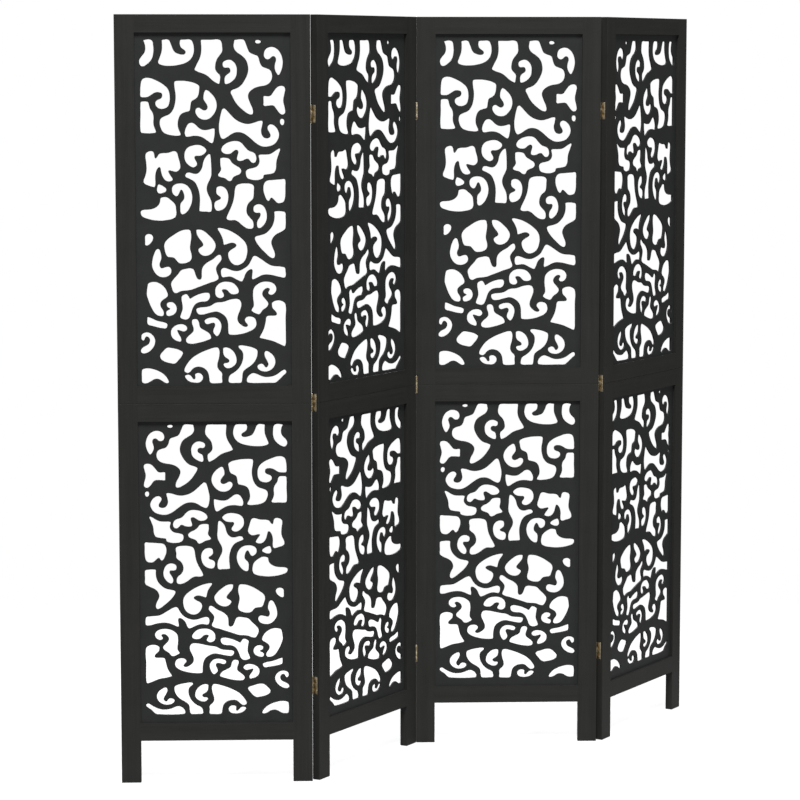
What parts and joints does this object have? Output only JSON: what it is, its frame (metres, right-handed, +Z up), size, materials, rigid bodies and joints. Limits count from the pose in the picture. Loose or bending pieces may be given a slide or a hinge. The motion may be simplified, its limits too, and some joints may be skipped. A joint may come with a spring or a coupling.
{
  "type": "folding room divider",
  "caption": "Free-standing folding room divider: black wooden frame panels with scroll fretwork, joined by brass butt hinges so that they fold flat against each other.",
  "frame": {"origin": "bottom centre of the bounding box, on the floor under the middle hinge line", "axes": "+Z up, +X along the folded screen from its first panel to its last, +Y to its back"},
  "size_m": [1.4854, 0.2114, 1.65],
  "materials": {
    "frame_wood": "satin black paint on planed wood",
    "fret_board": "smooth satin black paint on fibreboard",
    "dowel_wood": "bare beech",
    "brass": "dull antique brass"
  },
  "bodies": {
    "panel_1": {"panel_1_upper_left_stile": "frame_wood", "panel_1_upper_right_stile": "frame_wood", "panel_1_upper_top_rail": "frame_wood", "panel_1_upper_bottom_rail": "frame_wood", "panel_1_lower_left_stile": "frame_wood", "panel_1_lower_right_stile": "frame_wood", "panel_1_lower_top_rail": "frame_wood", "panel_1_lower_bottom_rail": "frame_wood", "panel_1_upper_fret": "fret_board", "panel_1_lower_fret": "fret_board", "panel_1_dowels": "dowel_wood", "panel_1_screws": "brass", "panel_1_joining_plate": "brass", "line_1_left_leaves": "brass", "line_1_pins": "brass"},
    "panel_2": {"panel_2_upper_left_stile": "frame_wood", "panel_2_upper_right_stile": "frame_wood", "panel_2_upper_top_rail": "frame_wood", "panel_2_upper_bottom_rail": "frame_wood", "panel_2_lower_left_stile": "frame_wood", "panel_2_lower_right_stile": "frame_wood", "panel_2_lower_top_rail": "frame_wood", "panel_2_lower_bottom_rail": "frame_wood", "panel_2_upper_fret": "fret_board", "panel_2_lower_fret": "fret_board", "panel_2_dowels": "dowel_wood", "panel_2_screws": "brass", "line_1_right_leaves": "brass", "line_2_left_leaves": "brass", "line_2_pins": "brass"},
    "panel_3": {"panel_3_upper_left_stile": "frame_wood", "panel_3_upper_right_stile": "frame_wood", "panel_3_upper_top_rail": "frame_wood", "panel_3_upper_bottom_rail": "frame_wood", "panel_3_lower_left_stile": "frame_wood", "panel_3_lower_right_stile": "frame_wood", "panel_3_lower_top_rail": "frame_wood", "panel_3_lower_bottom_rail": "frame_wood", "panel_3_upper_fret": "fret_board", "panel_3_lower_fret": "fret_board", "panel_3_dowels": "dowel_wood", "panel_3_screws": "brass", "line_2_right_leaves": "brass", "line_3_left_leaves": "brass", "line_3_pins": "brass"},
    "panel_4": {"panel_4_upper_left_stile": "frame_wood", "panel_4_upper_right_stile": "frame_wood", "panel_4_upper_top_rail": "frame_wood", "panel_4_upper_bottom_rail": "frame_wood", "panel_4_lower_left_stile": "frame_wood", "panel_4_lower_right_stile": "frame_wood", "panel_4_lower_top_rail": "frame_wood", "panel_4_lower_bottom_rail": "frame_wood", "panel_4_upper_fret": "fret_board", "panel_4_lower_fret": "fret_board", "panel_4_dowels": "dowel_wood", "panel_4_screws": "brass", "panel_4_joining_plate": "brass", "line_3_right_leaves": "brass"}
  },
  "joints": [
    {"name": "hinge_line_1", "type": "hinge", "parent": "panel_1", "child": "panel_2", "pos_m": [-0.37169, -0.09112, 0.825], "axis": [0, 0, 1], "range_deg": [-57, 123]},
    {"name": "hinge_line_2", "type": "hinge", "parent": "panel_2", "child": "panel_3", "pos_m": [0, 0.09112, 0.825], "axis": [0, 0, -1], "range_deg": [-57, 123]},
    {"name": "hinge_line_3", "type": "hinge", "parent": "panel_3", "child": "panel_4", "pos_m": [0.37169, -0.09112, 0.825], "axis": [0, 0, 1], "range_deg": [-57, 123]}
  ]
}
